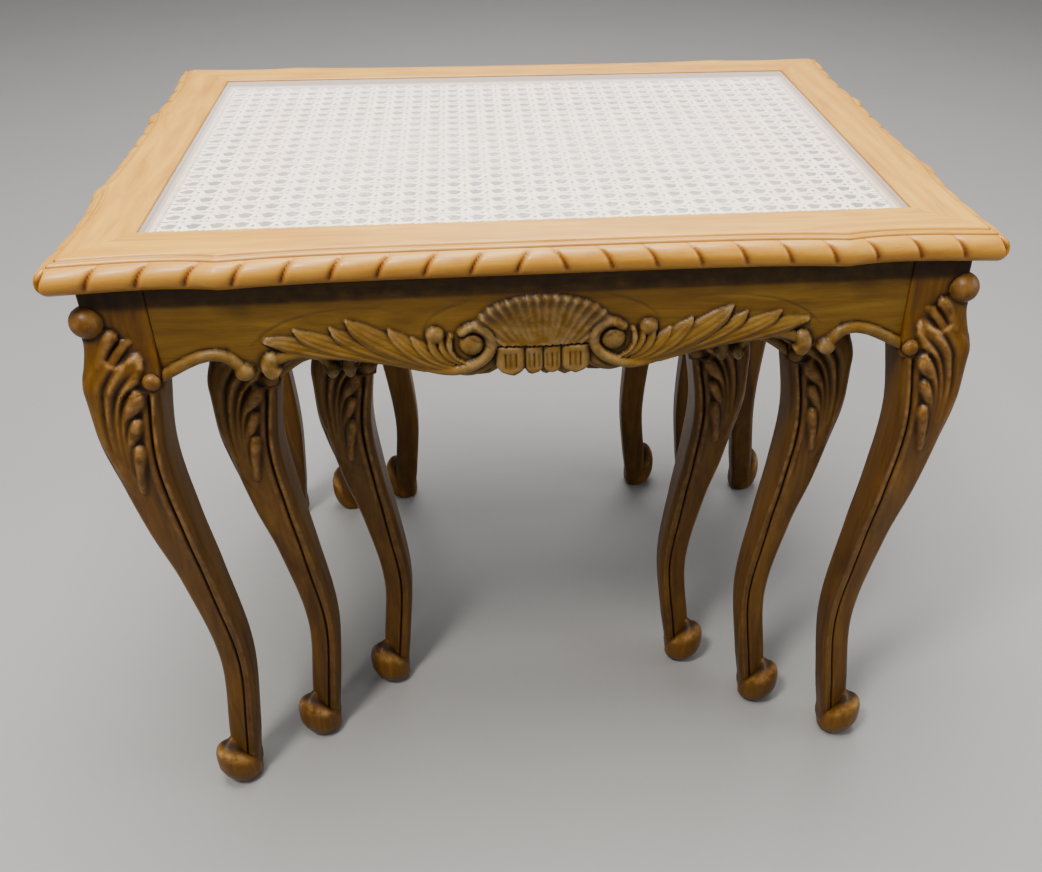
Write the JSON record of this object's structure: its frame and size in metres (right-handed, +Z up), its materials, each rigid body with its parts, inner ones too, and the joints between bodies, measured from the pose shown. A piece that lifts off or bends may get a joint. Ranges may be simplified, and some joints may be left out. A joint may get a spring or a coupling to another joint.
{
  "type": "nesting tables",
  "caption": "Nest of side tables on carved cabriole legs, with rope-edged tops of glass over woven cane; the inner ones pull out at the back.",
  "frame": {"origin": "middle of the nested tables' outer box, at floor level", "axes": "+Z up, -Y towards the carved fronts, +X to the right when facing the fronts; the inner tables pull out along +Y"},
  "size_m": [0.612, 0.466, 0.5],
  "materials": {
    "top_wood": "satin lacquered honey-coloured beech",
    "apron_wood": "satin lacquered golden brown beech",
    "leg_wood": "satin lacquered dark brown beech",
    "block_wood": "raw softwood",
    "cane": "pale natural woven cane",
    "reed": "matte split reed",
    "glass": "clear polished"
  },
  "bodies": {
    "large_table": {"large_back_left_leg": "leg_wood", "large_back_rail": "top_wood", "large_back_right_leg": "leg_wood", "large_cane": "cane", "large_front_apron": "apron_wood", "large_front_block": "block_wood", "large_front_left_leg": "leg_wood", "large_front_rail": "top_wood", "large_front_right_leg": "leg_wood", "large_glass": "glass", "large_left_apron": "apron_wood", "large_left_block": "block_wood", "large_left_rail": "top_wood", "large_right_apron": "apron_wood", "large_right_block": "block_wood", "large_right_rail": "top_wood", "large_spline": "reed"},
    "middle_table": {"middle_back_left_leg": "leg_wood", "middle_back_rail": "top_wood", "middle_back_right_leg": "leg_wood", "middle_cane": "cane", "middle_front_apron": "apron_wood", "middle_front_block": "block_wood", "middle_front_left_leg": "leg_wood", "middle_front_rail": "top_wood", "middle_front_right_leg": "leg_wood", "middle_glass": "glass", "middle_left_apron": "apron_wood", "middle_left_block": "block_wood", "middle_left_rail": "top_wood", "middle_right_apron": "apron_wood", "middle_right_block": "block_wood", "middle_right_rail": "top_wood", "middle_spline": "reed"},
    "small_table": {"small_back_apron": "apron_wood", "small_back_block": "block_wood", "small_back_left_leg": "leg_wood", "small_back_rail": "top_wood", "small_back_right_leg": "leg_wood", "small_cane": "cane", "small_front_apron": "apron_wood", "small_front_block": "block_wood", "small_front_left_leg": "leg_wood", "small_front_rail": "top_wood", "small_front_right_leg": "leg_wood", "small_glass": "glass", "small_left_apron": "apron_wood", "small_left_block": "block_wood", "small_left_rail": "top_wood", "small_right_apron": "apron_wood", "small_right_block": "block_wood", "small_right_rail": "top_wood", "small_spline": "reed"}
  },
  "joints": [
    {"name": "middle_pull_out", "type": "slide", "parent": "large_table", "child": "middle_table", "axis": [0, 1, 0], "range_m": [0, 0.42]},
    {"name": "small_pull_out", "type": "slide", "parent": "middle_table", "child": "small_table", "axis": [0, 1, 0], "range_m": [0, 0.37]}
  ]
}
